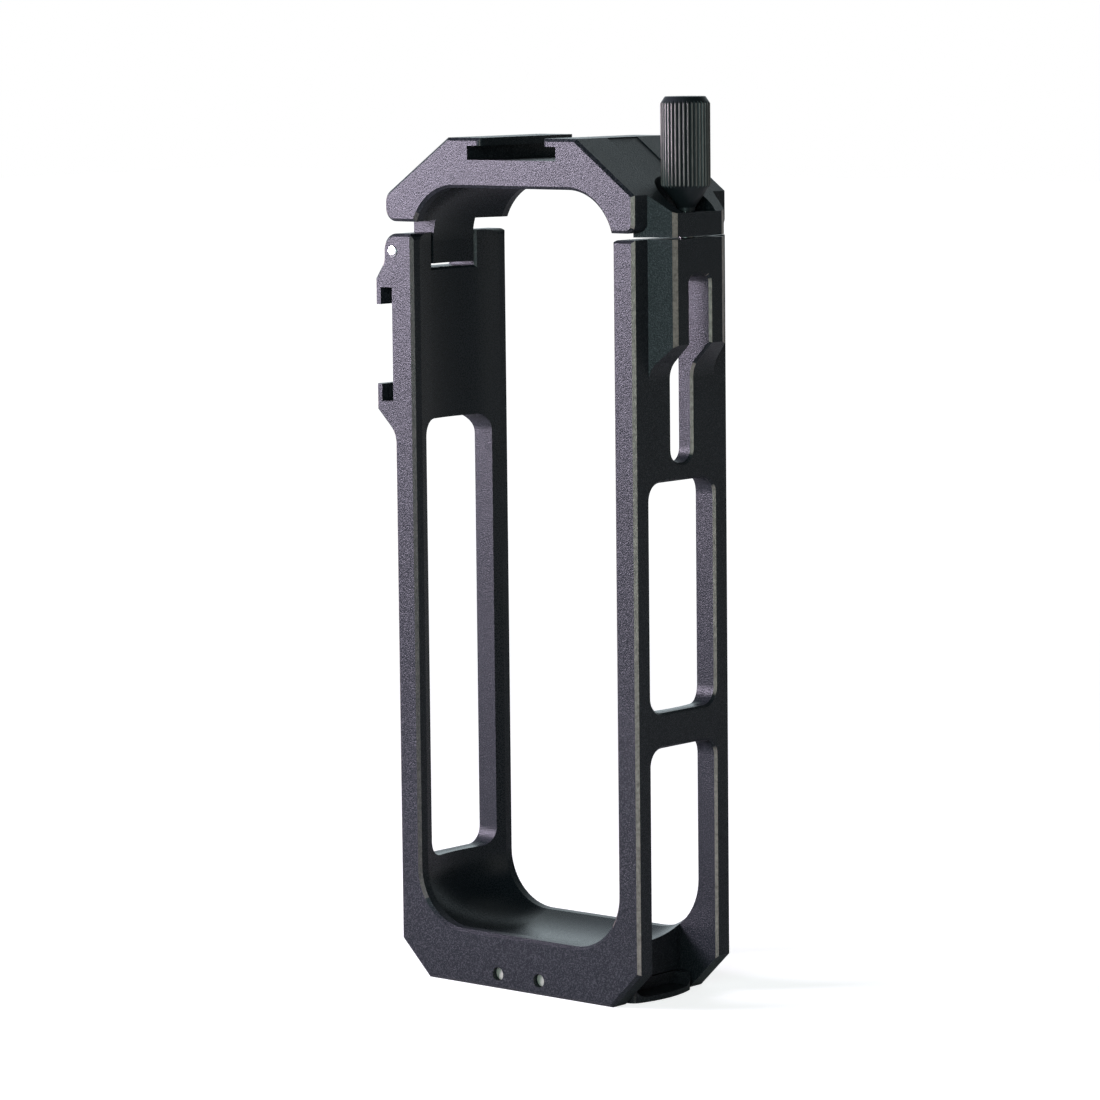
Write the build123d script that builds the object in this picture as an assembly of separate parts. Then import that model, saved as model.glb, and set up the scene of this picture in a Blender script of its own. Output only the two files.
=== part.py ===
"""Metal cage for a tall pocket camera, millimetres.

Frame: +X is the side with the locking knob, -Y is the front, +Z is up.
Origin: centre of the bottom face. Every cut and fit is worked out from the sizes named first.
"""
from build123d import *
from math import pi, radians, sqrt, tan
import os

# ---- overall frame ----
frame_width = 52.0
frame_depth = 24.0
frame_top = 125.0
gate_height = 16.0          # top of the gate above the top of the frame
bottom_cut = 6.0            # 45 degree cut on the two bottom corners
edge_break = 0.5            # chamfer along the front and rear outlines
window_break = 0.4          # chamfer round windows and slot
overshoot = 1.0             # how far a cut runs past the face it opens

# ---- space for the camera ----
wall = 4.5                  # wall measured at the lips
lip_floor = 9.2
gate_roof = 8.2             # gate measured above the lip
lip_corner = 9.3
lip_flat = 1.5              # flat run of a lip, inwards of its edge break
belly_depth = 1.9           # how far the wall is hollowed at mid depth
lip_top_round = 1.0
lip_top_inset = 0.32        # middle of that round, in from either face

# ---- windows ----
window_half_depth = 8.3
window_corner = 2.9
left_window_bottom = 19.6
left_window_top = 93.8
main_window_bottom = 48.25
main_window_top = 85.75
corner_window_top = 42.5

# ---- cold shoe on the left wall and cold shoe on the gate ----
shoe_width = 19.0
shoe_opening = 13.3
side_shoe_drop = 18.5       # centre below the top of the frame
side_shoe_stand = 4.0       # how far the shoe block stands out of the wall
side_shoe_lip = 1.4
side_shoe_depth = 2.5
side_shoe_shoulder = 1.4    # block beyond the channel, above and below
shoe_blend = 4.0
top_shoe_centre = 0.46
top_shoe_lip = 1.3
top_shoe_depth = 2.3
top_shoe_mouth = 1.0        # plan radius at the four lip ends

# ---- gate hinge, upper left ----
hinge_inset = 0.15          # pin centre inboard of the wall face
hinge_drop = 3.0            # pin centre below the top of the frame
hinge_pin_radius = 1.0
hinge_pin_proud = 0.2
running_gap = 0.04          # radial clearance of a turning fit
lug_outer = 2.2             # lug face outboard of the pin centre
lug_foot_drop = 1.75        # below the pin centre the lug turns out towards the shoe
lug_foot_round = 2.5
lug_round = 2.8
lug_notch_half = 5.4
notch_drop = 2.95           # notch floor below the pin centre
notch_break = 0.4           # bevel where the notch opens into the camera space
tongue_half = 5.0
tongue_outer = 1.4          # tongue faces measured from the pin centre
tongue_drop = 2.25
tongue_round = 0.6

# ---- gate ----
gate_left_end = 1.72        # gate end outboard of the pin centre
gate_left_gap = 2.0
gate_right_gap = 1.05
gate_left_slope = 14.1      # run of the left slope along X
gate_left_shoulder = 4.3    # height of the gate's left end
gate_right_break = 12.0     # run of the right slope over the wall, along X
gate_right_slope = 36.5     # degrees
gate_end_round = 2.2
gate_side_round = 1.6
slope_channel_half = 3.85
slope_channel_depth = 0.15

# ---- boss for the locking knob, right wall ----
boss_stand = 4.0
boss_half = 5.65            # half the flat outer face
boss_root_half = 8.4
boss_length = 22.6          # wall side length below the frame top
boss_blend = 4.0
boss_bevel_width = 1.0      # shallow bevel beside the flat face, across it
boss_bevel_depth = 0.35
boss_gap = 0.35
slot_half = 2.6
slot_height = 30.4
slot_roof = 6.0             # boss left solid above the slot
slot_low_corner = 2.3
slot_high_corner = 1.2

# ---- locking knob and its stud ----
knob_outset = 1.15          # knob axis outboard of the wall face
knob_radius = 4.03
knob_top_inset = 0.73
knob_top_bevel = 1.1
knob_grip = 14.1            # fluted length, with the bevel
knob_cone = 3.64            # height of the cone under the grip
knob_nose_radius = 1.5
knob_nose = 0.65            # straight nose under the cone
knob_seat_gap = 0.05
flute_count = 36
flute_depth = 0.32
flute_half_width = 0.27
knob_pocket_radius = 5.0
stud_radius = 1.5
stud_relief = 0.35          # neck turned down below the thread's radius
stud_grip = 8.0             # length held inside the knob
thread_engaged = 3.8
thread_length = 4.0
thread_gap = 0.05
gate_hole_gap = 0.1         # radial clearance of the stud in the gate

# ---- folding claws under the base ----
claw_half_depth = 7.75
claw_thickness = 2.75
claw_inset = 3.4            # claw tip in from the wall face
claw_tip_radius = 20.0
claw_tip_corner = 2.0
claw_hole_radius = 2.5
claw_hole_edge = 7.6        # hole centre back from the tip
claw_floor_gap = 0.05
claw_side_gap = 0.15
claw_roof_gap = 0.2
claw_eye_gap = 0.15
nail_shelf = 0.9            # tip left under the nail scoop
nail_scoop_half = 7.3
nail_scoop_round = 2.2
pivot_x = 4.45
pivot_z = 2.5
pivot_radius = 1.15
pivot_recess = 0.8
pivot_blind = 1.1           # skin left at the rear face
pocket_depth = 8.0          # finger pockets, in from the wall face
left_pocket_height = 4.6
magnet_radius = 1.75
magnet_thickness = 1.4
magnet_x = 10.0

# ---- worked out ----
half_width = frame_width / 2
half_depth = frame_depth / 2
gate_top = frame_top + gate_height
far = frame_width + gate_top        # longer than any cut needs
lip_half_width = half_width - wall
lip_ceiling = gate_top - gate_roof
belly_half = half_depth - edge_break - lip_flat
side_shoe_face = half_width + side_shoe_stand
side_shoe_centre = frame_top - side_shoe_drop
side_shoe_low = side_shoe_centre - shoe_width / 2 - side_shoe_shoulder
side_shoe_high = side_shoe_centre + shoe_width / 2 + side_shoe_shoulder
hinge_x = hinge_inset - half_width
hinge_z = frame_top - hinge_drop
lug_foot = hinge_z - lug_foot_drop
boss_face = half_width + boss_stand
boss_bottom = frame_top - boss_length
boss_foot = boss_bottom + boss_blend * tan(pi / 8)
slot_top = frame_top - slot_roof
slot_bottom = slot_top - slot_height
slope_rate = tan(radians(gate_right_slope))
slope_start = half_width - gate_right_break
pocket_floor = gate_top - (boss_face - slope_start) * slope_rate
boss_underside = frame_top + boss_gap
knob_x = half_width + knob_outset
knob_bottom = pocket_floor + knob_seat_gap
nose_top = knob_bottom + knob_nose
knob_cone_top = nose_top + knob_cone
knob_top = knob_cone_top + knob_grip
stud_neck_radius = stud_radius - stud_relief
eye_radius = pivot_z - claw_floor_gap
blade_top = claw_floor_gap + claw_thickness
bay_half_depth = claw_half_depth + claw_side_gap
bay_roof = blade_top + claw_roof_gap
eye_roof = pivot_z + eye_radius + claw_eye_gap
eye_bay_half = pivot_x + eye_radius + claw_eye_gap
claw_tip = half_width - claw_inset
claw_hole_x = claw_tip - claw_hole_edge
pocket_end = half_width - pocket_depth


# ---- helpers ----
def side_prism(sketch, half):
    """A shape drawn in X and Z, made solid from -half to +half in Y."""
    return extrude(Plane.XZ * sketch, amount=half, both=True)


def block(x0, x1, y0, y1, z0, z1):
    """A box from its low corner to its high corner."""
    solid = Box(x1 - x0, y1 - y0, z1 - z0, align=(Align.MIN, Align.MIN, Align.MIN))
    return Pos(x0, y0, z0) * solid


def rod(radius, start, direction, length):
    """A round bar from a point along a direction."""
    plane = Plane(origin=start, z_dir=direction)
    return plane * Cylinder(radius, length, align=(Align.CENTER, Align.CENTER, Align.MIN))


def window_plan(half, low, high, low_corner, high_corner, grow=0.0):
    """Outline of a window in the plane X = 0, with its own radius below and above."""
    sketch = Rectangle(2 * (half + grow), high - low + 2 * grow)
    for corner, row in ((low_corner, 0), (high_corner, -1)):
        if corner:
            sketch = fillet(sketch.vertices().group_by(Axis.Y)[row], corner + grow)
    return Plane(origin=(0, 0, (low + high) / 2), x_dir=(0, 1, 0), z_dir=(1, 0, 0)) * sketch


def wall_window(side, *plan):
    """A straight cut out through one side wall."""
    return extrude(Pos(side * pocket_end, 0, 0) * window_plan(*plan), amount=side * half_width)


def window_flare(*plan):
    """The bevel that opens a window at the outer face of the right wall."""
    inside = Pos(half_width - window_break, 0, 0) * window_plan(*plan)
    outside = Pos(half_width + window_break, 0, 0) * window_plan(*plan, 2 * window_break)
    return loft([inside, outside], ruled=True)


def break_outline(solid, size):
    """Bevel the outline of the front and the rear face."""
    edges = solid.faces().filter_by(Axis.Y).sort_by(Axis.Y)
    return chamfer(edges[0].outer_wire().edges() + edges[-1].outer_wire().edges(), size)


# ---- camera space, shared by frame and gate ----
def camera_outline(grow, y):
    """The lip outline, grown outwards, as a face at one depth."""
    middle = (lip_floor + lip_ceiling) / 2
    plane = Plane(origin=(0, y, middle), x_dir=(1, 0, 0), z_dir=(0, -1, 0))
    return plane * RectangleRounded(2 * (lip_half_width + grow), lip_ceiling - lip_floor + 2 * grow,
                                    lip_corner + grow)


def belly_section():
    """Half lens: distance out of the corner centre in X, depth in Y."""
    inner = lip_corner / 2
    points = [(lip_corner, -belly_half), (lip_corner + belly_depth, 0), (lip_corner, belly_half)]
    arc = ThreePointArc(*points)
    rest = Polyline(points[2], (inner, belly_half), (inner, -belly_half), points[0])
    return make_face(arc + rest)


def camera_space():
    """The room that the camera takes: straight lips with broken edges and a hollowed wall."""
    space = extrude(camera_outline(0, 0), amount=half_depth, both=True)
    for side in (-1, 1):
        inside = camera_outline(0, side * (half_depth - edge_break))
        outside = camera_outline(2 * edge_break, side * (half_depth + edge_break))
        space += loft([inside, outside], ruled=True)
    centre_x = lip_half_width - lip_corner
    low_z = lip_floor + lip_corner
    high_z = lip_ceiling - lip_corner
    section = belly_section()
    for turn, x, z, run in ((0, centre_x, low_z, high_z - low_z), (90, centre_x, high_z, 2 * centre_x),
                            (180, -centre_x, high_z, high_z - low_z), (270, -centre_x, low_z, 2 * centre_x)):
        place = Pos(x, 0, z) * Rot(0, -turn, 0)
        space += place * extrude(section, amount=run)
        space += place * revolve(section, Axis.Y, revolution_arc=90)
    return space


# ---- main frame ----
def frame_blank():
    """U shaped bar stock with the side shoe and the hinge lugs in its outline."""
    lug_face = hinge_x - lug_outer
    points = [(-half_width + bottom_cut, 0), (half_width - bottom_cut, 0), (half_width, bottom_cut),
              (half_width, frame_top), (lug_face, frame_top), (lug_face, lug_foot),
              (-side_shoe_face, side_shoe_high), (-side_shoe_face, side_shoe_low),
              (-half_width, side_shoe_low - side_shoe_stand), (-half_width, bottom_cut)]
    sketch = make_face(Polyline(*points, close=True))
    corners = sketch.vertices()
    sketch = fillet(near(corners, lug_face, frame_top), lug_round)
    sketch = fillet(near(sketch.vertices(), lug_face, lug_foot), lug_foot_round)
    sketch = fillet(near(sketch.vertices(), -half_width, side_shoe_low - side_shoe_stand), shoe_blend)
    return break_outline(side_prism(sketch, half_depth), edge_break)


def near(vertices, x, y):
    """The vertex of a sketch that lies closest to a point."""
    return vertices.sort_by_distance(Vector(x, y, 0))[0]


def boss_plan(root, low, high):
    """The boss seen from above, from a root inside the wall: slanted flanks and a shallow bevel."""
    shoulder = boss_face - boss_bevel_depth
    shoulder_half = boss_half + boss_bevel_width
    splay = (boss_root_half - shoulder_half) / (shoulder - half_width)
    root_half = boss_root_half + (half_width - root) * splay
    points = [(root, -root_half), (shoulder, -shoulder_half), (boss_face, -boss_half),
              (boss_face, boss_half), (shoulder, shoulder_half), (root, root_half)]
    plan = make_face(Polyline(*points, close=True))
    return Pos(0, 0, low) * extrude(plan, amount=high - low)


def frame_boss():
    """Boss that takes the thread; its foot runs out into the wall at 45 degrees."""
    root = half_width - edge_break
    low = boss_bottom - boss_stand
    points = [(root, low), (half_width, low), (half_width, boss_foot), (boss_face, boss_foot + boss_stand),
              (boss_face, frame_top), (root, frame_top)]
    side = make_face(Polyline(*points, close=True))
    side = fillet(near(side.vertices(), half_width, boss_foot), boss_blend)
    return boss_plan(root, low, frame_top) & side_prism(side, half_depth)


def cut_slot(solid):
    """Cuts the slot that shows the foot of the stud and breaks its outer edge."""
    slot = wall_window(1, slot_half, slot_bottom, slot_top, slot_low_corner, slot_high_corner)
    before = solid.edges()
    solid -= slot
    rim = (solid.edges() - before).filter_by(lambda edge: edge.center().X > half_width - window_break
                                             and abs(edge.center().Y) < slot_half + window_break)
    return chamfer(rim, window_break)


def shoe_cut(width, opening, lip, depth):
    """T shaped channel section: X across the shoe, Y out of its face at Y = 0."""
    neck = Pos(0, lip / 2) * Rectangle(opening, 3 * lip)
    slot = Pos(0, -lip - depth / 2) * Rectangle(width, depth)
    return neck + slot


def side_shoe():
    """Channel of the cold shoe on the left wall, open at front and rear."""
    section = shoe_cut(shoe_width, shoe_opening, side_shoe_lip, side_shoe_depth)
    plane = Plane(origin=(-side_shoe_face, 0, side_shoe_centre), x_dir=(0, 0, 1), z_dir=(0, -1, 0))
    return extrude(plane * section, amount=half_depth + overshoot, both=True)


def hinge_notch():
    """Gap between the lugs, right through the left wall."""
    return block(-side_shoe_face, 0, -lug_notch_half, lug_notch_half, hinge_z - notch_drop,
                 frame_top + overshoot)


def cut_notch(solid):
    """Cuts the gap and bevels its edge where it opens into the camera space."""
    before = solid.edges()
    solid -= hinge_notch()
    mouth = (solid.edges() - before).filter_by(
        lambda edge: edge.center().X > -lip_half_width - belly_depth - notch_break
        and edge.length > 2 * notch_break and edge.center().Z < frame_top)
    return chamfer(mouth, notch_break)


def claw_bay():
    """Room under the base for both claws, with a taller stretch over the pivots."""
    channel = block(-half_width, half_width, -bay_half_depth, bay_half_depth, -overshoot, bay_roof)
    eyes = block(-eye_bay_half, eye_bay_half, -bay_half_depth, bay_half_depth, -overshoot, eye_roof)
    return channel + eyes


def finger_pocket():
    """Cut through the left bottom corner that lets a nail reach the claw tip."""
    return block(-half_width - overshoot, -pocket_end, -window_half_depth, window_half_depth, -overshoot,
                 left_pocket_height)


def lip_rounds():
    """Rounds off the two inner top corners of the rails."""
    low = frame_top - lip_top_round
    high = frame_top + overshoot
    clear = lip_half_width - overshoot
    start = (lip_half_width, low)
    end = (lip_half_width + lip_top_round, frame_top)
    arc = ThreePointArc(start, (lip_half_width + lip_top_inset, frame_top - lip_top_inset), end)
    rest = Polyline(end, (end[0], high), (clear, high), (clear, low), start)
    right = side_prism(make_face(arc + rest), half_depth + overshoot)
    return [right, mirror(right, Plane.YZ)]


def main_frame():
    left = (window_half_depth, left_window_bottom, left_window_top, window_corner, window_corner)
    upper = (window_half_depth, main_window_bottom, main_window_top, window_corner, window_corner)
    lower = (window_half_depth, -overshoot, corner_window_top, 0, window_corner)
    solid = cut_slot(frame_blank() + frame_boss())
    solid -= camera_space()
    solid -= wall_window(-1, *left)
    for plan in (upper, lower):
        solid -= wall_window(1, *plan)
        solid -= window_flare(*plan)
    solid -= finger_pocket()
    solid -= claw_bay()
    solid -= side_shoe()
    solid = cut_notch(solid)
    solid -= lip_rounds()
    solid -= rod(hinge_pin_radius, (hinge_x, -half_depth, hinge_z), (0, 1, 0), frame_depth)
    solid -= rod(stud_radius + thread_gap, (knob_x, 0, slot_top - overshoot), (0, 0, 1),
                 slot_roof + 2 * overshoot)
    for side in (-1, 1):
        pivot = (side * pivot_x, -half_depth, pivot_z)
        solid -= rod(pivot_radius, pivot, (0, 1, 0), frame_depth - pivot_blind)
        solid -= rod(magnet_radius, (side * magnet_x, 0, bay_roof), (0, 0, 1), magnet_thickness)
    return solid


# ---- gate ----
def gate_blank():
    """Bar stock of the gate in its XZ outline."""
    left = hinge_x - gate_left_end
    left_low = frame_top + gate_left_gap
    left_high = left_low + gate_left_shoulder
    right_low = frame_top + gate_right_gap
    right_high = gate_top - gate_right_break * slope_rate
    points = [(left, left_low), (0, left_low), (0, right_low), (half_width, right_low),
              (half_width, right_high), (slope_start, gate_top), (left + gate_left_slope, gate_top),
              (left, left_high)]
    sketch = make_face(Polyline(*points, close=True))
    sketch = fillet(near(sketch.vertices(), left, left_low), gate_end_round)
    sketch = fillet(near(sketch.vertices(), left, left_high), gate_end_round)
    sketch = fillet(near(sketch.vertices(), half_width, right_low), gate_side_round)
    return break_outline(side_prism(sketch, half_depth), edge_break)


def gate_boss():
    """The gate's half of the boss, under the same slope as the gate."""
    root = half_width - gate_side_round - edge_break
    roof = gate_top - (root - slope_start) * slope_rate
    points = [(root, boss_underside), (boss_face, boss_underside), (boss_face, pocket_floor), (root, roof)]
    side = side_prism(make_face(Polyline(*points, close=True)), half_depth)
    return boss_plan(root, boss_underside, gate_top) & side


def gate_tongue():
    """Knuckle of the gate between the frame's lugs, before the camera space is cut from it."""
    left = hinge_x - tongue_outer
    low = hinge_z - tongue_drop
    high = frame_top + gate_left_gap + gate_end_round
    sketch = make_face(Polyline((left, low), (-lip_half_width, low), (-lip_half_width, high), (left, high),
                                close=True))
    sketch = fillet(near(sketch.vertices(), left, low), tongue_round)
    return side_prism(sketch, tongue_half)


def knob_pocket():
    """Round pocket that lets the knob sink into the slope."""
    return rod(knob_pocket_radius, (knob_x, 0, pocket_floor), (0, 0, 1), gate_top)


def slope_channel():
    """Shallow flat milled down the middle of the right slope, into the knob pocket."""
    run = knob_x - slope_start
    plane = Plane(origin=(slope_start, 0, gate_top), x_dir=(1, 0, -slope_rate), z_dir=(slope_rate, 0, 1))
    flat = Box(run, 2 * slope_channel_half, 2 * slope_channel_depth,
               align=(Align.MIN, Align.CENTER, Align.CENTER))
    return plane * flat


def top_shoe():
    """Channel of the cold shoe on the gate, with rounded lip ends."""
    section = shoe_cut(shoe_width, shoe_opening, top_shoe_lip, top_shoe_depth)
    plane = Plane(origin=(top_shoe_centre, 0, gate_top), x_dir=(1, 0, 0), z_dir=(0, -1, 0))
    cut = extrude(plane * section, amount=half_depth + overshoot, both=True)
    reach = shoe_opening / 2 + top_shoe_mouth
    low = gate_top - top_shoe_lip
    inner = half_depth - top_shoe_mouth
    for side in (-1, 1):
        for end in (-1, 1):
            x0, x1 = sorted((top_shoe_centre, top_shoe_centre + side * reach))
            y0, y1 = sorted((end * inner, end * (half_depth + overshoot)))
            mouth = block(x0, x1, y0, y1, low, gate_top + overshoot)
            post = rod(top_shoe_mouth, (top_shoe_centre + side * reach, end * inner, low), (0, 0, 1),
                       top_shoe_lip + overshoot)
            cut += mouth - post
    return cut


def top_gate():
    solid = gate_blank() + gate_boss() + gate_tongue()
    solid -= camera_space()
    solid -= knob_pocket()
    solid -= slope_channel()
    solid -= top_shoe()
    solid -= rod(hinge_pin_radius + running_gap, (hinge_x, -half_depth, hinge_z), (0, 1, 0), frame_depth)
    solid -= rod(stud_radius + gate_hole_gap, (knob_x, 0, frame_top), (0, 0, 1), gate_top - frame_top)
    return solid


def gate_hinge_pin():
    length = frame_depth + 2 * hinge_pin_proud
    return rod(hinge_pin_radius, (hinge_x, -length / 2, hinge_z), (0, 1, 0), length)


# ---- knob ----
def thumb_knob():
    """Fluted grip with a cone that runs down to the nose in the pocket."""
    points = [(0, knob_bottom), (knob_nose_radius, knob_bottom), (knob_nose_radius, nose_top),
              (knob_radius, knob_cone_top), (knob_radius, knob_top - knob_top_bevel),
              (knob_radius - knob_top_inset, knob_top), (0, knob_top)]
    profile = Plane.XZ * make_face(Polyline(*points, close=True))
    solid = revolve(profile, Axis.Z)
    outer = knob_radius + flute_depth
    tooth = make_face(Polyline((knob_radius - flute_depth, 0), (outer, 2 * flute_half_width),
                               (outer, -2 * flute_half_width), close=True))
    flute = Pos(0, 0, knob_cone_top - flute_depth) * extrude(tooth, amount=knob_grip + overshoot)
    solid -= [Rot(0, 0, 360 * i / flute_count) * flute for i in range(flute_count)]
    solid -= rod(stud_neck_radius + running_gap, (0, 0, knob_bottom), (0, 0, 1), stud_grip + thread_gap)
    return Pos(knob_x, 0, 0) * solid


def knob_stud():
    """Steel stud: thread at the foot, relieved neck above it, held in the knob."""
    foot = frame_top - thread_engaged
    thread = rod(stud_radius, (knob_x, 0, foot), (0, 0, 1), thread_length)
    thread = chamfer(thread.edges().sort_by(Axis.Z)[0], stud_radius - stud_neck_radius)
    neck = rod(stud_neck_radius, (knob_x, 0, foot), (0, 0, 1), knob_bottom + stud_grip - foot)
    return thread + neck


# ---- claws ----
def right_claw():
    """Blade, pivot eye with a square stop corner, bolt hole and nail scoop, folded flat."""
    eye = rod(eye_radius, (pivot_x, -claw_half_depth, pivot_z), (0, 1, 0), 2 * claw_half_depth)
    heel = block(pivot_x - eye_radius, pivot_x, -claw_half_depth, claw_half_depth, claw_floor_gap, pivot_z)
    plan = blade_plan()
    blade = Pos(0, 0, claw_floor_gap) * extrude(plan, amount=claw_thickness)
    solid = eye + heel + blade
    scoop = block(pocket_end, far, -nail_scoop_half, nail_scoop_half, claw_floor_gap + nail_shelf,
                  blade_top + nail_scoop_round)
    scoop = fillet(scoop.edges().filter_by(Axis.X).group_by(Axis.Z)[0], nail_scoop_round)
    solid -= scoop
    solid -= rod(claw_hole_radius, (claw_hole_x, 0, 0), (0, 0, 1), blade_top + overshoot)
    solid -= rod(pivot_radius + running_gap, (pivot_x, -half_depth, pivot_z), (0, 1, 0), frame_depth)
    solid -= rod(magnet_radius, (magnet_x, 0, blade_top - magnet_thickness), (0, 0, 1),
                 magnet_thickness + overshoot)
    return solid


def blade_plan():
    """Outline of a claw from above: straight flanks, a gently bowed end, rounded corners."""
    bow = claw_tip_radius - sqrt(claw_tip_radius ** 2 - claw_half_depth ** 2)
    tip = ThreePointArc((claw_tip - bow, -claw_half_depth), (claw_tip, 0), (claw_tip - bow, claw_half_depth))
    rest = Polyline((claw_tip - bow, claw_half_depth), (pivot_x, claw_half_depth),
                    (pivot_x, -claw_half_depth), (claw_tip - bow, -claw_half_depth))
    plan = make_face(tip + rest)
    for side in (-1, 1):
        plan = fillet(near(plan.vertices(), claw_tip - bow, side * claw_half_depth), claw_tip_corner)
    return plan


def claw_pin(side):
    """Dowel pressed in from the front face and stopped below it."""
    length = frame_depth - pivot_recess - pivot_blind
    return rod(pivot_radius, (side * pivot_x, pivot_recess - half_depth, pivot_z), (0, 1, 0), length)


def magnet(side, low):
    return rod(magnet_radius, (side * magnet_x, 0, low), (0, 0, 1), magnet_thickness)


def assembly():
    """Every node by name."""
    claw = right_claw()
    parts = {"main_frame": main_frame(), "top_gate": top_gate(), "gate_hinge_pin": gate_hinge_pin(),
             "thumb_knob": thumb_knob(), "knob_stud": knob_stud(),
             "claw_right": claw, "claw_left": mirror(claw, Plane.YZ)}
    for name, side in (("right", 1), ("left", -1)):
        parts["claw_pin_" + name] = claw_pin(side)
        parts["base_magnet_" + name] = magnet(side, bay_roof)
        parts["claw_magnet_" + name] = magnet(side, blade_top - magnet_thickness)
    return parts


os.makedirs("parts", exist_ok=True)
for node, shape in assembly().items():
    export_step(shape, "parts/" + node + ".step")
    print(node, round(shape.volume, 3), "mm3")
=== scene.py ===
"""Camera cage of two bars of black anodised aluminium, a hinged gate, a thumb knob and folding claws."""
from math import atan2, hypot, pi, radians

import bmesh
import bpy
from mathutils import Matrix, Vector


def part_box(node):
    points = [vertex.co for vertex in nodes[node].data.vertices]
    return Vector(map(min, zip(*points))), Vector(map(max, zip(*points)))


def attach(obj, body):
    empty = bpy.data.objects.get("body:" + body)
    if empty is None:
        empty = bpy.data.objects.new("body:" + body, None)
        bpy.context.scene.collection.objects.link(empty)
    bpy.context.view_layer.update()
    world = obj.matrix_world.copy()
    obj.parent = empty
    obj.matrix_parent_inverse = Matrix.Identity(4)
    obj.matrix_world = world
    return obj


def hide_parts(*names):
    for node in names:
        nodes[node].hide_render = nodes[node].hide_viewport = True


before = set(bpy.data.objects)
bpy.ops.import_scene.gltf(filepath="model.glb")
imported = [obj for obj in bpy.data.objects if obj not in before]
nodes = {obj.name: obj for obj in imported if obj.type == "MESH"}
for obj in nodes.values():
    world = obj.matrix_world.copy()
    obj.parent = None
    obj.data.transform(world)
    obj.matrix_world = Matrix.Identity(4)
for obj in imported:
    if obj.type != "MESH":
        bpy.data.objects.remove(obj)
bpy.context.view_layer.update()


# ---- camera ----
# A long lens stands a little above the cage and off its right front corner. It sees the front of
# both rails, the outside of the knob wall and the inside of the shoe wall.
camera_place = (0.4931, -0.5804, 0.1610)
camera_turns = (83.3823, 0.6079, 40.413)    # degrees about X, Y and Z
bpy.ops.object.camera_add(location=camera_place, rotation=[radians(turn) for turn in camera_turns])
camera = bpy.context.object
camera.name = "view"
camera.data.sensor_width = 36.0
camera.data.lens = 151.3
camera.data.clip_start = 0.01
bpy.context.scene.camera = camera
bpy.context.scene.view_settings.view_transform = "Standard"


# ---- table and light ----
# The cage stands on a white sheet that shows white and bounces little. A small soft box at the left
# front lights the tops of the front faces, another lights the slopes from behind, and two weak ones
# at the right lift the edges that face them. Behind the left side the room is bright.
white = (1.0, 1.0, 1.0, 1.0)
sheet_side = 6.0
sheet_colour = (0.5, 0.5, 0.5, 1.0)
sheet_roughness = 0.9
sheet_gloss = 0.1
sheet_near = 0.22
sheet_far = 0.75
sheet_shown_near = 0.80             # added where the eye sees the sheet by the cage
sheet_shown_far = 0.99              # and far from it, where no lamp reaches
sheet_front_end = 0.05
sheet_rear_start = 0.35
sheet_painted_glow_front = 0.03         # a painted glow, seen only where metal mirrors the sheet before the cage
sheet_painted_glow_rear = 0.28          # and behind it, stronger there to stand in for the room's light
bpy.ops.mesh.primitive_plane_add(size=1.0)
sheet = bpy.context.object
sheet.name = "white_sheet"
bpy.ops.object.mode_set(mode="EDIT")
bpy.ops.transform.resize(value=(sheet_side, sheet_side, 1.0))
bpy.ops.mesh.subdivide(number_cuts=2)
bpy.ops.object.mode_set(mode="OBJECT")


def feed(tree, socket, value):
    """Links a socket to another node's output, or sets it to a plain value."""
    if isinstance(value, bpy.types.NodeSocket):
        tree.links.new(value, socket)
    else:
        socket.default_value = value


def fill(tree, node, **sockets):
    """Feeds a node's sockets by name."""
    for name, value in sockets.items():
        feed(tree, node.inputs[name.replace("_", " ")], value)


def add(tree, kind, **sockets):
    """A new node with its sockets fed by name."""
    node = tree.nodes.new(kind)
    fill(tree, node, **sockets)
    return node


def calc(tree, operation, *values):
    """A maths node on plain values or on other nodes' outputs."""
    node = tree.nodes.new("ShaderNodeMath")
    node.operation = operation
    for socket, value in zip(node.inputs, values):
        feed(tree, socket, value)
    return node.outputs[0]


def vector_node(tree, operation, vector):
    """A vector maths node whose first vector is given."""
    node = tree.nodes.new("ShaderNodeVectorMath")
    node.operation = operation
    feed(tree, node.inputs[0], vector)
    return node


def split(tree, vector):
    """The X, Y and Z outputs of a vector."""
    return add(tree, "ShaderNodeSeparateXYZ", Vector=vector).outputs


def graded(tree, value, start, end, low=0.0, high=1.0, curve="LINEAR"):
    """The low value up to the start of a range, and the high value from its end onwards."""
    node = add(tree, "ShaderNodeMapRange", Value=value, From_Min=start, From_Max=end,
               To_Min=low, To_Max=high)
    node.interpolation_type = curve
    return node.outputs["Result"]


def open_material(name):
    """A new material, its node tree and its shader."""
    material = bpy.data.materials.new(name)
    material.use_nodes = True
    return material, material.node_tree, material.node_tree.nodes["Principled BSDF"]


white_paper, tree, shader = open_material("white_paper")
rays = tree.nodes.new("ShaderNodeLightPath")
place = tree.nodes.new("ShaderNodeTexCoord")
away = vector_node(tree, "LENGTH", place.outputs["Object"])
shown = graded(tree, away.outputs["Value"], sheet_near, sheet_far, sheet_shown_near, sheet_shown_far)
# In reflections the sheet carries a painted glow, weak before the cage and strong behind it.
painted_glow = graded(tree, split(tree, place.outputs["Object"])["Y"], sheet_front_end, sheet_rear_start,
                  sheet_painted_glow_front, sheet_painted_glow_rear)
painted_glow = calc(tree, "MULTIPLY", rays.outputs["Is Glossy Ray"], painted_glow)
shown = calc(tree, "MULTIPLY_ADD", rays.outputs["Is Camera Ray"], shown, painted_glow)
fill(tree, shader, Base_Color=sheet_colour, Roughness=sheet_roughness, Specular_IOR_Level=sheet_gloss,
     Emission_Color=white, Emission_Strength=shown)
sheet.data.materials.append(white_paper)

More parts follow.
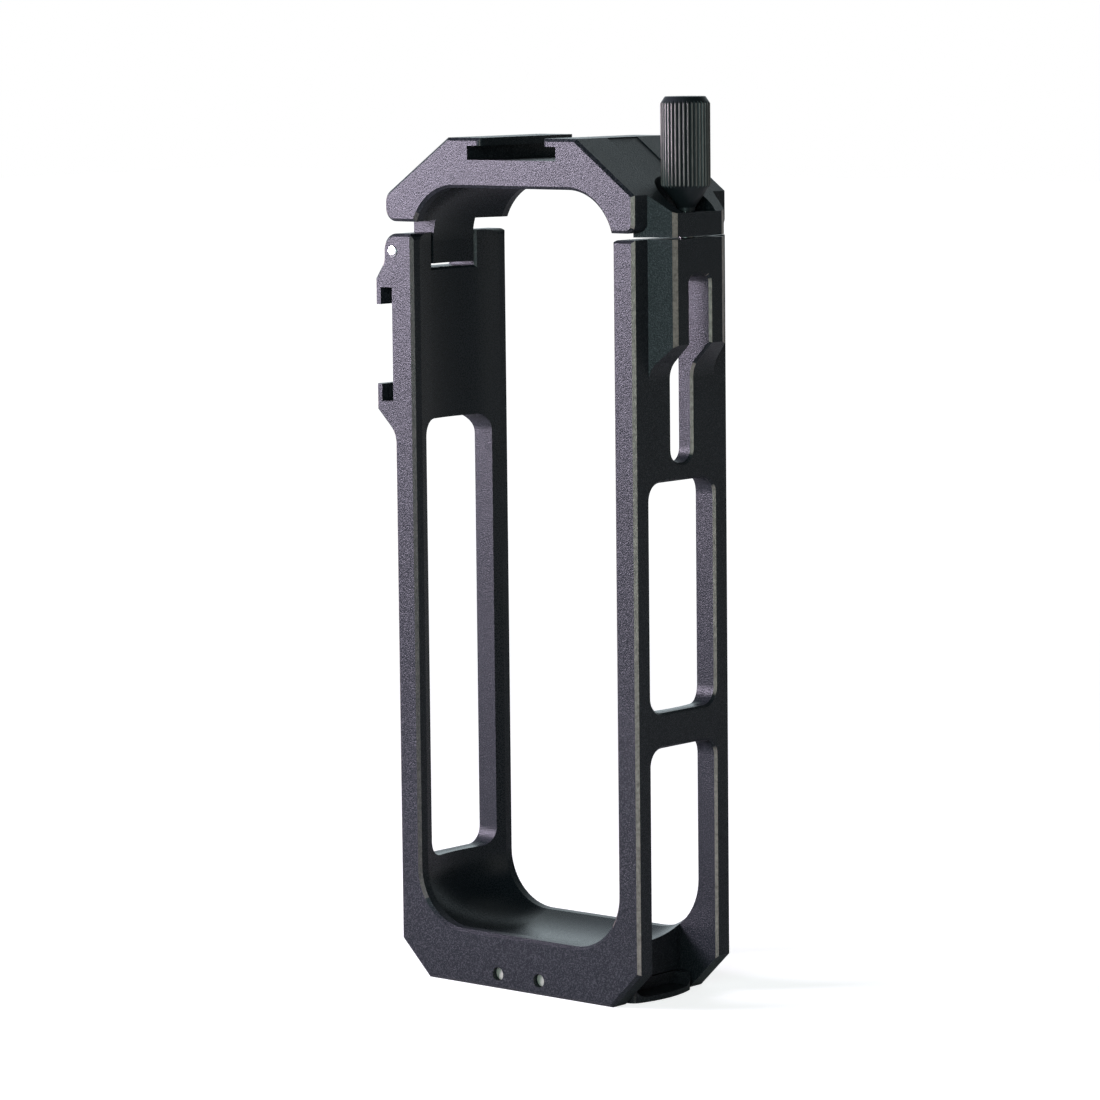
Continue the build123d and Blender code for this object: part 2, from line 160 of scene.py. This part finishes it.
room_tint = (0.82, 0.95, 1.0, 1.0)
room_dark_side = (0.90, 0.44, 0.0)      # behind the knob wall
room_bright_end = -0.2
room_bright = 0.20
room_dim_start = 0.9
room_dim = 0.035
room_fades = 0.30                       # the height from which the room darkens
room_faded = 0.65
room_overhead = 0.12                    # share of its light that is left overhead
room_lit_side = (-0.56, 0.81, 0.18)     # behind the shoe wall, over the table
room_lit_rim = 0.70
room_lit = 1.1


def towards(tree, direction, side):
    """How far a direction points to a side of the room."""
    node = vector_node(tree, "DOT_PRODUCT", direction)
    node.inputs[1].default_value = side
    return node.outputs["Value"]


room = bpy.data.worlds.new("white_room")
bpy.context.scene.world = room
room.use_nodes = True
tree = room.node_tree
tree.nodes.clear()
looking = tree.nodes.new("ShaderNodeTexCoord").outputs["Generated"]
dim = graded(tree, towards(tree, looking, room_dark_side), room_bright_end, room_dim_start,
             room_bright, room_dim, "SMOOTHSTEP")
overhead = graded(tree, split(tree, looking)["Z"], room_fades, room_faded,
                  1.0, room_overhead, "SMOOTHSTEP")
lit = graded(tree, towards(tree, looking, room_lit_side), room_lit_rim, 1.0, 0.0, room_lit)
level = calc(tree, "MULTIPLY_ADD", dim, overhead, lit)
glow = add(tree, "ShaderNodeBackground", Color=room_tint, Strength=level)
wall = add(tree, "ShaderNodeBackground", Color=white, Strength=1.0)
rays = tree.nodes.new("ShaderNodeLightPath")
seen = calc(tree, "MAXIMUM", rays.outputs["Is Camera Ray"], rays.outputs["Is Transmission Ray"])
mix = tree.nodes.new("ShaderNodeMixShader")
for socket, source in zip(mix.inputs, (seen, glow.outputs[0], wall.outputs[0])):
    feed(tree, socket, source)
add(tree, "ShaderNodeOutputWorld", Surface=mix.outputs[0])


def soft_box(name, place, aim, width, height, watts, colour):
    """A rectangular lamp that hangs at a place and faces a point of the cage."""
    bpy.ops.object.light_add(type="AREA", location=place)
    lamp = bpy.context.object
    lamp.name = name
    lamp.data.shape = "RECTANGLE"
    lamp.data.size = width
    lamp.data.size_y = height
    lamp.data.energy = watts
    lamp.data.color = colour
    lamp.rotation_euler = (Vector(place) - Vector(aim)).to_track_quat("Z", "Y").to_euler()


soft_box("left_front_box", place=(-0.235, -0.235, 0.185), aim=(0.0, 0.0, 0.14), width=0.13, height=0.16,
         watts=2.3, colour=(1.0, 0.88, 1.10))
soft_box("slope_box", place=(0.02, 0.42, 0.52), aim=(0.0, 0.0, 0.10), width=0.40, height=0.30,
         watts=0.06, colour=(0.92, 1.0, 1.0))
soft_box("right_front_box", place=(0.30, -0.62, 0.26), aim=(0.0, 0.0, 0.08), width=0.40, height=0.40,
         watts=2.0, colour=(0.72, 1.0, 0.98))
soft_box("right_side_box", place=(0.55, 0.12, 0.15), aim=(0.0, 0.0, 0.10), width=0.16, height=0.30,
         watts=0.10, colour=(1.0, 0.98, 0.93))


# ---- frame and gate: the blasted bar stock ----
# Both are milled from aluminium bar, blasted with fine beads and dyed black in the anodising bath.
# The beads leave a sparkle, the cutter's smoother surface stays where the camera sits, and hands
# have rubbed the dye off the upright broken edges. The rub is also a painted highlight: it lightens
# these edges and the boss's outer bevel, faces that turn to the front lamps, under any light.
camera_room_half = 0.0245           # the milled surface lies inside this in X
camera_room_low = 0.0065
camera_room_high = 0.1355
camera_room_middle = (camera_room_low + camera_room_high) / 2
camera_room_depth = 0.01005         # and inside this in Y
wall_turn = 0.5                     # a wall's normal has less than this along Y
milled_sparkle = 0.15               # shares of the blasting that show on the milled surface
milled_height = 0.2
cloud_scale = 90.0                  # the dye is uneven at this scale
dye_least = 0.75
dye_drift = 0.5
glint_start = 0.49                  # the grains that catch the light
glint_full = 0.63
grain_sheen = 0.2                   # how much the roughness changes from grain to grain
broken_edge_turn = 0.707            # the normal of a broken upright edge along Y
broken_edge_spread = 0.10
upright_turn = 0.6                  # and at least this along X
inner_edge_rub_and_highlight = 0.2                # hands hardly reach the edges round the camera, so their rub and painted highlight are weak
boss_reach = 0.0295                 # the boss's outer bevel lies beyond this in X
boss_bevel_turn = 0.33
boss_bevel_spread = 0.05
edge_gain = 1.5
scuff_scale = 1500.0                # the rub is broken up at this scale
scuff_start = 0.35
scuff_full = 0.65
scuff_least = 0.5
# the rub's share of metal makes its painted highlight show under any lamp
rub_and_highlight_metallic = 0.4
bead_dents = 0.6


def open_group(name, inputs, outputs):
    """A new shader node group, the outputs of its input node, and its output node."""
    group = bpy.data.node_groups.new(name, "ShaderNodeTree")
    for label, kind, value in inputs:
        socket = group.interface.new_socket(name=label, in_out="INPUT", socket_type="NodeSocket" + kind)
        if value is not None:
            socket.default_value = value
    for label, kind in outputs:
        group.interface.new_socket(name=label, in_out="OUTPUT", socket_type="NodeSocket" + kind)
    return group, group.nodes.new("NodeGroupInput").outputs, group.nodes.new("NodeGroupOutput")


def noise(tree, vector, scale, detail, roughness):
    """Fractal noise on a vector."""
    node = add(tree, "ShaderNodeTexNoise", Vector=vector, Scale=scale, Detail=detail, Roughness=roughness)
    return node.outputs["Fac"]


def near_value(tree, value, centre, spread):
    """1 where a value is at the centre, 0 from the spread outwards."""
    away = calc(tree, "ABSOLUTE", calc(tree, "SUBTRACT", value, centre))
    away = calc(tree, "MINIMUM", calc(tree, "DIVIDE", away, spread), 1.0)
    return calc(tree, "SUBTRACT", 1.0, away)


def at_least(tree, value, least):
    """A value from 0 to 1 drawn up so that it starts at the least value."""
    return calc(tree, "MULTIPLY_ADD", value, 1.0 - least, least)


def product(tree, *factors):
    """All the values multiplied."""
    total = factors[0]
    for factor in factors[1:]:
        total = calc(tree, "MULTIPLY", total, factor)
    return total


def shaded(tree, colour, factor):
    """A colour made lighter or darker by a factor."""
    node = vector_node(tree, "SCALE", colour)
    feed(tree, node.inputs["Scale"], factor)
    return node.outputs[0]


def blend_colour(tree, share, first, second):
    """The first colour where the share is 0, the second where it is 1."""
    node = tree.nodes.new("ShaderNodeMix")
    node.data_type = "RGBA"
    fill(tree, node, Factor=share, A=first, B=second)
    return node.outputs["Result"]


blast, given, result = open_group(
    "blasted_anodise",
    (("Dye", "Color", (0.03, 0.03, 0.03, 1.0)),
     ("Rub And Highlight", "Color", (0.46, 0.38, 0.33, 1.0)),
     ("Sparkle", "Color", (0.20, 0.195, 0.21, 1.0)),
     ("Sparkle Share", "Float", 0.5),
     ("Grain Scale", "Float", 4700.0),
     ("Edge Rub", "Float", 0.5),
     ("Blasted Roughness", "Float", 0.42),
     ("Milled Roughness", "Float", 0.30)),
    (("Color", "Color"), ("Metallic", "Float"), ("Roughness", "Float"), ("Height", "Float")))
place = blast.nodes.new("ShaderNodeTexCoord")
turned = split(blast, place.outputs["Normal"])
spot = split(blast, place.outputs["Object"])
across = calc(blast, "ABSOLUTE", spot["X"])
depth = calc(blast, "ABSOLUTE", spot["Y"])
front_turn = calc(blast, "ABSOLUTE", turned["Y"])
side_turn = calc(blast, "ABSOLUTE", turned["X"])
grain = noise(blast, place.outputs["Object"], given["Grain Scale"], detail=2.0, roughness=0.6)
cloud = noise(blast, place.outputs["Object"], cloud_scale, detail=4.0, roughness=0.55)
scuff = noise(blast, place.outputs["Object"], scuff_scale, detail=4.0, roughness=0.7)

from_middle = calc(blast, "SUBTRACT", spot["Z"], camera_room_middle)
inwards = calc(blast, "MULTIPLY", turned["Z"], from_middle)
inwards = calc(blast, "MULTIPLY_ADD", turned["X"], spot["X"], inwards)
milled = product(blast, calc(blast, "LESS_THAN", depth, camera_room_depth),
                 calc(blast, "LESS_THAN", inwards, 0.0),
                 calc(blast, "LESS_THAN", front_turn, wall_turn),
                 calc(blast, "LESS_THAN", across, camera_room_half),
                 calc(blast, "GREATER_THAN", spot["Z"], camera_room_low),
                 calc(blast, "LESS_THAN", spot["Z"], camera_room_high))
blasted = calc(blast, "SUBTRACT", 1.0, milled)

dyed = shaded(blast, given["Dye"], calc(blast, "MULTIPLY_ADD", cloud, dye_drift, dye_least))
glint = product(blast, graded(blast, grain, glint_start, glint_full), given["Sparkle Share"],
                at_least(blast, blasted, milled_sparkle))
metal = blend_colour(blast, glint, dyed, given["Sparkle"])

outer_edge = at_least(blast, calc(blast, "GREATER_THAN", across, camera_room_half), inner_edge_rub_and_highlight)
upright = product(blast, near_value(blast, front_turn, broken_edge_turn, broken_edge_spread),
                  calc(blast, "GREATER_THAN", side_turn, upright_turn), outer_edge)
# The boss's outer bevel is lightened with the rubbed edges, a painted highlight where it turns to the
# lamps.
boss_bevel_highlight = product(blast, near_value(blast, front_turn, boss_bevel_turn, boss_bevel_spread),
                     calc(blast, "GREATER_THAN", across, boss_reach))
edges = calc(blast, "MULTIPLY", calc(blast, "MAXIMUM", upright, boss_bevel_highlight), edge_gain)
worn = at_least(blast, graded(blast, scuff, scuff_start, scuff_full), scuff_least)
# The rub lightens the broken edges as wear, and as a painted highlight on faces that turn to the lamps.
rub_and_highlight = product(blast, calc(blast, "MINIMUM", edges, 1.0), worn, given["Edge Rub"])

rougher = calc(blast, "SUBTRACT", given["Blasted Roughness"], given["Milled Roughness"])
sheen = calc(blast, "MULTIPLY_ADD", rougher, blasted, given["Milled Roughness"])
grain_step = calc(blast, "MULTIPLY_ADD", grain, grain_sheen, -grain_sheen / 2)
fill(blast, result,
     Color=blend_colour(blast, rub_and_highlight, metal, given["Rub And Highlight"]),
     Metallic=calc(blast, "MAXIMUM", glint, calc(blast, "MULTIPLY", rub_and_highlight, rub_and_highlight_metallic)),
     Roughness=calc(blast, "ADD", sheen, grain_step),
     Height=product(blast, grain, at_least(blast, blasted, milled_height)))


def anodised(name, dye, sparkle, rub_and_highlight, roughness, smoother, dent, gloss):
    """A material of blasted and dyed metal, whose worn edges also carry a painted highlight."""
    material, tree, shader = open_material(name)
    finish = tree.nodes.new("ShaderNodeGroup")
    finish.node_tree = blast
    fill(tree, finish, Dye=(*dye, 1.0), Sparkle_Share=sparkle, Edge_Rub=rub_and_highlight,
         Blasted_Roughness=roughness, Milled_Roughness=smoother)
    bump = add(tree, "ShaderNodeBump", Strength=bead_dents, Distance=dent, Height=finish.outputs["Height"])
    fill(tree, shader, Specular_IOR_Level=gloss, Base_Color=finish.outputs["Color"],
         Metallic=finish.outputs["Metallic"], Roughness=finish.outputs["Roughness"],
         Normal=bump.outputs["Normal"])
    return material


# The bar takes the full rub, which paints a highlight on its edges and boss bevel along with their wear.
black_bar = anodised("black_bar", dye=(0.009, 0.0115, 0.0145), sparkle=0.22, rub_and_highlight=1.0,
                     roughness=0.35, smoother=0.28, dent=0.00013, gloss=0.29)
for name in ("main_frame", "top_gate"):
    nodes[name].material_slots[0].material = black_bar


# ---- claws ----
# Two short fingers milled from the same bar and dyed with it. Their corners are tumbled round, so
# they are a little smoother than the frame.
# The claws' edges take a weaker rub: worn, and lightened as a painted highlight where they face the lamps.
black_claw = anodised("black_claw", dye=(0.012, 0.012, 0.015), sparkle=0.25, rub_and_highlight=0.6,
                      roughness=0.36, smoother=0.36, dent=0.00002, gloss=0.3)
for name in ("claw_right", "claw_left"):
    nodes[name].material_slots[0].material = black_claw


# ---- hinge pin and claw pins ----
# Ground steel dowels pressed in from the front, with a chamfer on each end and slightly crowned end
# faces. The hinge pin stands just proud and bright, the claw pins lie below the face and are dull.
pin_facets = 72
pin_crown = 0.00003
crown_rings = ((0.35, 0.7), (0.25, 0.3))    # widths as shares of the radius, rises as shares of the crown
hinge_pin_chamfer = 0.00012
claw_pin_chamfer = 0.00018
chamfer_steps = 3
smooth_below = 40                   # degrees between faces that shade as one
smudge_scale = 600.0
mark_depth = 0.4


def start_piece(name):
    """Takes the new primitive by name and opens it for editing."""
    piece = bpy.context.object
    piece.name = name
    bpy.ops.object.mode_set(mode="EDIT")
    return piece


def is_end(face):
    """Whether a face is a round end, with more corners than a facet has."""
    return len(face.verts) > 4


def is_rim(edge):
    """Whether an edge goes round an end."""
    return any(is_end(face) for face in edge.link_faces)


def pick(piece, kind, test):
    """Selects only the vertices, edges or faces that pass the test."""
    bpy.ops.mesh.select_mode(type=kind)
    bpy.ops.mesh.select_all(action="DESELECT")
    shape = bmesh.from_edit_mesh(piece.data)
    for item in {"VERT": shape.verts, "EDGE": shape.edges, "FACE": shape.faces}[kind]:
        item.select = test(item)
    shape.select_flush_mode()
    bmesh.update_edit_mesh(piece.data)


def close_piece(piece, sharp, body, node, material):
    """Leaves edit mode, sets shading and finish, and puts the piece in its node's place."""
    bpy.ops.mesh.select_all(action="SELECT")
    bpy.ops.mesh.normals_make_consistent(inside=False)
    bpy.ops.object.mode_set(mode="OBJECT")
    bpy.ops.object.transform_apply(location=True, rotation=True, scale=True)
    bpy.ops.object.shade_smooth_by_angle(angle=radians(sharp))
    piece.data.materials.clear()
    piece.data.materials.append(material)
    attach(piece, body)
    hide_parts(node)


marks, given, result = open_group(
    "tool_marks",
    (("Vector", "Vector", None),
     ("Steel", "Color", (0.7, 0.7, 0.7, 1.0)),
     ("Smudge", "Float", 0.1),
     ("Base Roughness", "Float", 0.2),
     ("Mark Contrast", "Float", 0.1)),
    (("Color", "Color"), ("Roughness", "Float"), ("Height", "Float")))
place = marks.nodes.new("ShaderNodeTexCoord")
lines = noise(marks, given["Vector"], scale=1.0, detail=3.0, roughness=0.6)
smudge = noise(marks, place.outputs["Object"], smudge_scale, detail=3.0, roughness=0.5)
shade = calc(marks, "SUBTRACT", 1.0, product(marks, smudge, given["Smudge"]))
from_mean = calc(marks, "SUBTRACT", lines, 0.5)
rougher = product(marks, from_mean, given["Mark Contrast"])
fill(marks, result, Color=shaded(marks, given["Steel"], shade),
     Roughness=calc(marks, "ADD", given["Base Roughness"], rougher), Height=lines)


def machined(name, colour, stretch, smudge, roughness, contrast, dent, metallic):
    """A material of bare or plated metal with its tool marks drawn out along a direction."""
    material, tree, shader = open_material(name)
    place = tree.nodes.new("ShaderNodeTexCoord")
    drawn = add(tree, "ShaderNodeMapping", Vector=place.outputs["Object"], Scale=stretch)
    finish = tree.nodes.new("ShaderNodeGroup")
    finish.node_tree = marks
    fill(tree, finish, Vector=drawn.outputs[0], Steel=(*colour, 1.0), Smudge=smudge,
         Base_Roughness=roughness, Mark_Contrast=contrast)
    bump = add(tree, "ShaderNodeBump", Strength=mark_depth, Distance=dent, Height=finish.outputs["Height"])
    fill(tree, shader, Metallic=metallic, Base_Color=finish.outputs["Color"],
         Roughness=finish.outputs["Roughness"], Normal=bump.outputs["Normal"])
    return material


def middle_of(low, high):
    """The middle of a box."""
    return [(a + b) / 2 for a, b in zip(low, high)]


def dowel(node, end_chamfer, material):
    """A dowel along Y in its node's place, chamfered and crowned at both ends."""
    low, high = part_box(node)
    radius = (high[0] - low[0]) / 2
    length = high[1] - low[1] - 2 * pin_crown
    bpy.ops.object.select_all(action="DESELECT")
    bpy.ops.mesh.primitive_cylinder_add(vertices=pin_facets, radius=radius, depth=length,
                                        location=middle_of(low, high), rotation=(pi / 2, 0.0, 0.0))
    piece = start_piece(node + "_dowel")
    pick(piece, "EDGE", is_rim)
    bpy.ops.mesh.bevel(offset=end_chamfer, segments=chamfer_steps, affect="EDGES")
    pick(piece, "FACE", is_end)
    for width, rise in crown_rings:
        bpy.ops.mesh.inset(thickness=radius * width, depth=pin_crown * rise)
    close_piece(piece, smooth_below, "frame", node, material)


ground_bright = machined("ground_bright", (0.96, 0.96, 0.95), stretch=(900.0, 9000.0, 900.0), smudge=0.05,
                         roughness=0.16, contrast=0.10, dent=0.000002, metallic=1.0)
ground_satin = machined("ground_satin", (0.46, 0.47, 0.39), stretch=(900.0, 9000.0, 900.0), smudge=0.15,
                        roughness=0.60, contrast=0.20, dent=0.000004, metallic=0.2)
dowel("gate_hinge_pin", hinge_pin_chamfer, ground_bright)
for side in ("right", "left"):
    dowel("claw_pin_" + side, claw_pin_chamfer, ground_satin)


# ---- magnets ----
# Small nickel plated discs glued flush into the base and into the claws, which they hold shut. Each
# has the soft rounded rim that plating leaves.
magnet_facets = 64
magnet_rim = 0.00018
rim_steps = 4
plated = machined("nickel_plate", (0.72, 0.70, 0.66), stretch=(2500.0, 2500.0, 2500.0), smudge=0.15,
                  roughness=0.20, contrast=0.10, dent=0.000003, metallic=1.0)
for part, body in (("base", "frame"), ("claw", None)):
    for side in ("right", "left"):
        node = part + "_magnet_" + side
        low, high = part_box(node)
        bpy.ops.object.select_all(action="DESELECT")
        bpy.ops.mesh.primitive_cylinder_add(vertices=magnet_facets, radius=(high[0] - low[0]) / 2,
                                            depth=high[2] - low[2], location=middle_of(low, high))
        piece = start_piece(node + "_disc")
        pick(piece, "EDGE", is_rim)
        bpy.ops.mesh.bevel(offset=magnet_rim, segments=rim_steps, affect="EDGES")
        close_piece(piece, smooth_below, body or side + "_claw", node, plated)


# ---- thumb knob ----
# Turned from round bar and rolled with straight flutes. It is chamfered on top and coned below, so
# that it seats in the gate's pocket, and fingers have rubbed the lands between the flutes grey.
low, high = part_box("thumb_knob")
knob_x = (low[0] + high[0]) / 2
knob_axis = (knob_x, 0.0, 0.0)
knob_bottom = low[2]
knob_radius = (high[1] - low[1]) / 2
knob_smooth_below = 32
nose_radius = 0.0015
nose_height = 0.00065
cone_height = 0.00364
top_bevel = 0.0011
top_inset = 0.00073
crown_ring = 0.00012
crown_rise = 0.00004
grip_height = high[2] - knob_bottom - nose_height - cone_height - top_bevel
cone_top = knob_bottom + nose_height + cone_height
bevel_foot = cone_top + grip_height
bore_radius = 0.00119
bore_depth = 0.00805
flute_count = 36
flute_depth = 0.00032
flute_steps = (1.0, 0.80, 0.36, 0.07, 0.0, 0.07, 0.36, 0.80)   # depth across one flute, as shares
cone_slope = cone_height / (knob_radius - nose_radius)
bevel_slope = top_bevel / top_inset
ring_count = flute_count * len(flute_steps)
ring_slack = 0.00002                # a vertex this near a ring's height belongs to the ring
grip_reach = nose_radius * 1.5      # and lies outside this

bpy.ops.object.select_all(action="DESELECT")
bpy.ops.mesh.primitive_circle_add(vertices=ring_count, radius=nose_radius, fill_type="NGON",
                                  location=(knob_x, 0.0, knob_bottom))
knob = start_piece("fluted_knob")


def raise_ring(rise, widen):
    """Draws the selected end face up and makes it wider or narrower about the knob's axis."""
    bpy.ops.mesh.extrude_region_move(TRANSFORM_OT_translate={"value": (0.0, 0.0, rise)})
    bpy.ops.transform.resize(value=(widen, widen, 1.0), center_override=knob_axis)


def flute_step(vertex):
    """Which step of a flute a vertex of the grip lies on."""
    turn = atan2(vertex.co.y, vertex.co.x) / (2 * pi) * ring_count
    return round(turn) % len(flute_steps)


def on_ring(vertex, height):
    """Whether a vertex of the grip lies at a height."""
    return abs(vertex.co.z + knob_bottom - height) < ring_slack and hypot(*vertex.co.xy) > grip_reach


raise_ring(nose_height, 1.0)
raise_ring(cone_height, knob_radius / nose_radius)
raise_ring(grip_height, 1.0)
raise_ring(top_bevel, (knob_radius - top_inset) / knob_radius)
bpy.ops.mesh.inset(thickness=crown_ring, depth=crown_rise)
for share in sorted(set(flute_steps) - {0.0}):
    sink = share * flute_depth
    steps = [index for index, value in enumerate(flute_steps) if value == share]
    for ring, shift in ((cone_top, -sink * cone_slope), (bevel_foot, sink * bevel_slope)):
        pick(knob, "VERT", lambda vertex: on_ring(vertex, ring) and flute_step(vertex) in steps)
        narrow = (knob_radius - sink) / knob_radius
        bpy.ops.transform.resize(value=(narrow, narrow, 1.0), center_override=knob_axis)
        bpy.ops.transform.translate(value=(0.0, 0.0, shift))
pick(knob, "FACE", lambda face: is_end(face) and face.calc_center_median().z < nose_height / 2)
bpy.ops.mesh.inset(thickness=nose_radius - bore_radius)
bpy.ops.mesh.extrude_region_move(TRANSFORM_OT_translate={"value": (0.0, 0.0, bore_depth)})

knob_dye = (0.012, 0.015, 0.017, 1.0)
knob_bare = (0.27, 0.24, 0.22, 1.0)
knob_gloss = 0.35
knob_streaks = (4200.0, 4200.0, 700.0)
land_foot = 0.45                    # the rub starts this share of a flute's depth below the lands
land_top = 0.05                     # and is full from here
land_rub_least = 0.2
land_rub_drift = 0.9
land_metallic = 0.6
knob_roughness = 0.32
knob_roughness_drift = 0.25
turning_marks = 0.00001
black_turned, tree, shader = open_material("black_turned")
place = tree.nodes.new("ShaderNodeTexCoord")
centred = add(tree, "ShaderNodeMapping", Vector=place.outputs["Object"], Location=(-knob_x, 0.0, 0.0))
spot = split(tree, centred.outputs[0])
reach = calc(tree, "ADD", calc(tree, "POWER", spot["X"], 2.0), calc(tree, "POWER", spot["Y"], 2.0))
land = graded(tree, calc(tree, "SQRT", reach), knob_radius - flute_depth * land_foot,
              knob_radius - flute_depth * land_top)
streaks = add(tree, "ShaderNodeMapping", Vector=place.outputs["Object"], Scale=knob_streaks)
wear = noise(tree, streaks.outputs[0], scale=1.0, detail=3.0, roughness=0.6)
rubbed = product(tree, land, calc(tree, "MULTIPLY_ADD", wear, land_rub_drift, land_rub_least))
bump = add(tree, "ShaderNodeBump", Strength=mark_depth, Distance=turning_marks, Height=wear)
fill(tree, shader, Specular_IOR_Level=knob_gloss,
     Base_Color=blend_colour(tree, rubbed, knob_dye, knob_bare),
     Metallic=calc(tree, "MULTIPLY", rubbed, land_metallic),
     Roughness=calc(tree, "MULTIPLY_ADD", wear, knob_roughness_drift, knob_roughness),
     Normal=bump.outputs["Normal"])
close_piece(knob, knob_smooth_below, "knob", "thumb_knob", black_turned)


# ---- knob stud ----
# A steel stud pressed into the knob. A metric thread is cut on its foot, which screws into the
# frame's boss, and the shank above it is turned down to clear the gate.
low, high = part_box("knob_stud")
foot = low[2]
stud_height = high[2] - foot
stud_facets = 72
stud_smooth_below = 30
shank_radius = 0.00115
shank_chamfer = 0.0003
thread_radius = (high[0] - low[0]) / 2
thread_pitch = 0.0005
thread_turns = 7
thread_steps = 36                   # to each turn
thread_root = 0.00042               # width of the thread at its root
thread_crest = 0.00007
thread_sunk = 0.00005               # how far the ridge reaches into the shank
thread_height = thread_radius - shank_radius + thread_sunk
thread_middle = thread_radius - thread_height / 2

bpy.ops.object.select_all(action="DESELECT")
bpy.ops.mesh.primitive_cylinder_add(vertices=stud_facets, radius=shank_radius, depth=stud_height,
                                    location=(knob_x, 0.0, foot + stud_height / 2))
shank = start_piece("shank")
pick(shank, "EDGE", is_rim)
bpy.ops.mesh.bevel(offset=shank_chamfer, segments=chamfer_steps, affect="EDGES")
bpy.ops.object.mode_set(mode="OBJECT")

bpy.ops.object.select_all(action="DESELECT")
bpy.ops.mesh.primitive_plane_add(size=1.0, location=(knob_x, 0.0, foot + thread_pitch),
                                 rotation=(pi / 2, 0.0, 0.0))
bpy.ops.object.transform_apply(location=False, rotation=True, scale=True)
ridge = start_piece("ridge")
bpy.ops.transform.resize(value=(thread_height, 1.0, thread_root), center_override=ridge.location)
bpy.ops.transform.translate(value=(thread_middle, 0.0, 0.0))
pick(ridge, "VERT", lambda vertex: vertex.co.x > thread_middle)
bpy.ops.transform.resize(value=(1.0, 1.0, thread_crest / thread_root), center_override=ridge.location)
bpy.ops.object.mode_set(mode="OBJECT")
turning = ridge.modifiers.new("turning", "SCREW")
turning.axis = "Z"
turning.screw_offset = thread_pitch
turning.iterations = thread_turns
turning.steps = thread_steps
turning.render_steps = thread_steps
bpy.ops.object.modifier_apply(modifier=turning.name)
bpy.ops.object.mode_set(mode="EDIT")
bpy.ops.mesh.select_all(action="SELECT")
bpy.ops.mesh.fill_holes(sides=4)
bpy.ops.object.mode_set(mode="OBJECT")
shank.select_set(True)
bpy.context.view_layer.objects.active = shank
bpy.ops.object.join()
stud = start_piece("threaded_stud")
turned_steel = machined("turned_steel", (0.62, 0.61, 0.59), stretch=(500.0, 500.0, 12000.0), smudge=0.2,
                        roughness=0.27, contrast=0.2, dent=0.000004, metallic=1.0)
close_piece(stud, stud_smooth_below, "stud", "knob_stud", turned_steel)
